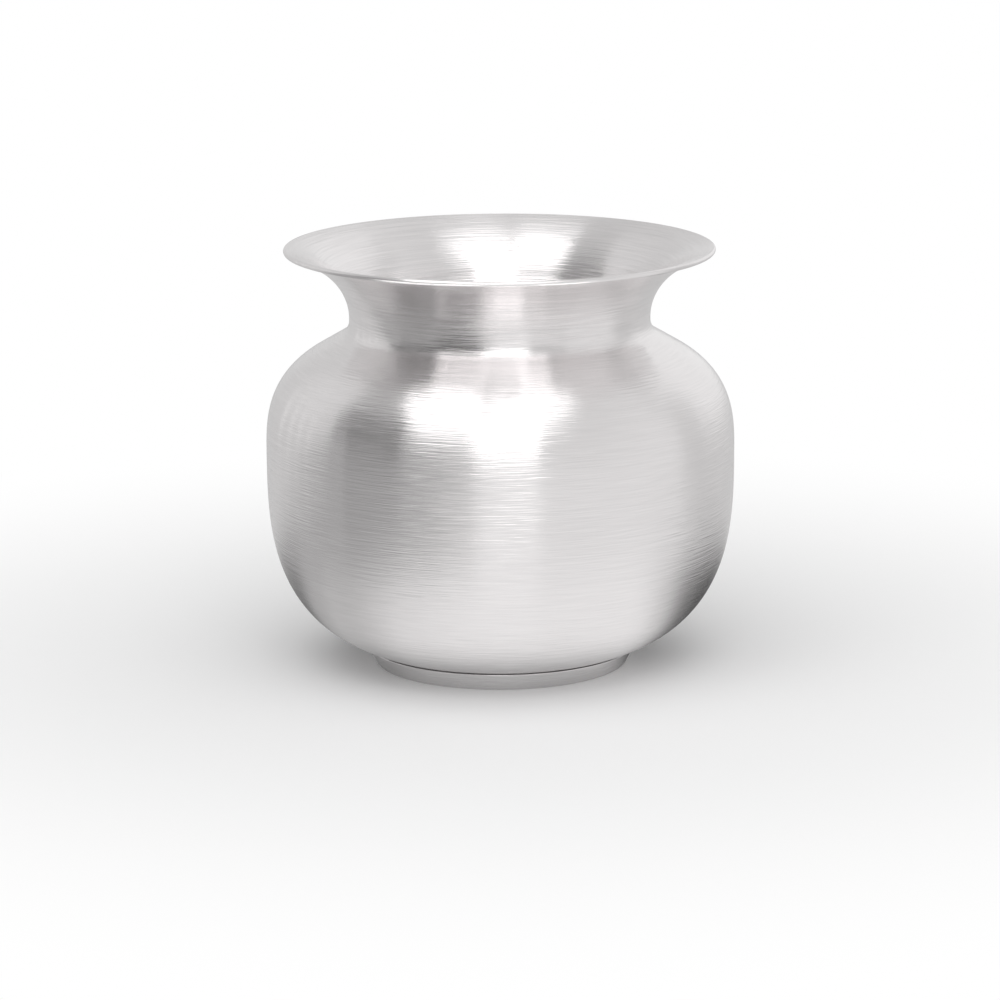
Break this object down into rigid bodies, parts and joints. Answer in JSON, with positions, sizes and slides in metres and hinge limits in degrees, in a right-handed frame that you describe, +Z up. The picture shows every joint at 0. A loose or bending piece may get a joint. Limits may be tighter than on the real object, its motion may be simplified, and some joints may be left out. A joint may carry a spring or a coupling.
{
  "type": "lota",
  "caption": "Small bellied pot of brushed metal with a flared mouth, a waisted neck and a low foot, for carrying, drinking and pouring water.",
  "frame": {"origin": "centre of the foot's underside, on the surface that the pot stands on", "axes": "+Z up along the axis that the pot is turned about; X and Y are free, because the pot is the same all round"},
  "size_m": [0.096, 0.096, 0.0865],
  "materials": {
    "brushed_sheet": "satin, brushed round the axis",
    "solder": "dull, as flowed"
  },
  "bodies": {
    "root": {"flared_mouth": "brushed_sheet", "shoulder": "brushed_sheet", "lower_bowl": "brushed_sheet", "foot_ring": "brushed_sheet", "neck_solder": "solder", "belly_solder": "solder", "foot_solder": "solder"}
  },
  "joints": []
}
